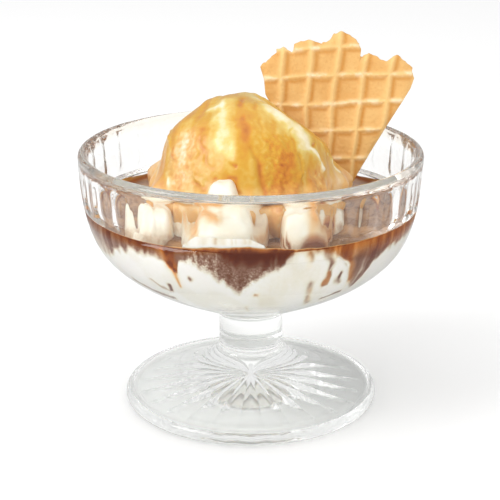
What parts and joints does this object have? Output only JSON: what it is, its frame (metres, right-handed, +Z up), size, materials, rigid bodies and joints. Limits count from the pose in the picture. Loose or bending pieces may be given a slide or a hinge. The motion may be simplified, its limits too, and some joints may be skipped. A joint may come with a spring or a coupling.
{
  "type": "affogato in its footed dessert glass",
  "caption": "Footed dessert glass of melting ice cream and coffee, with a coffee-glazed scoop on top and a broken piece of cone wafer standing behind it.",
  "frame": {"origin": "centre of the underside of the glass's foot, on the surface that it stands on", "axes": "+Z up along the glass's axis; the front of the dessert, with the scoop before the wafer, faces -Y, and the wafer leans towards +X and +Y"},
  "size_m": [0.112, 0.1118, 0.1196],
  "materials": {
    "clear_glass": "clear pressed glass, polished",
    "coffee": "wet dark coffee with a thin tan line at the glass",
    "white_ice_cream": "soft melting vanilla ice cream, slightly wet",
    "coffee_glaze": "amber coffee glaze running over ice cream, glossy",
    "wafer": "baked golden wafer, dry and fine-pored"
  },
  "bodies": {
    "root": {"glass": "clear_glass", "coffee": "coffee", "ice_cream": "white_ice_cream", "top_scoop": "coffee_glaze", "wafer": "wafer"}
  },
  "joints": []
}
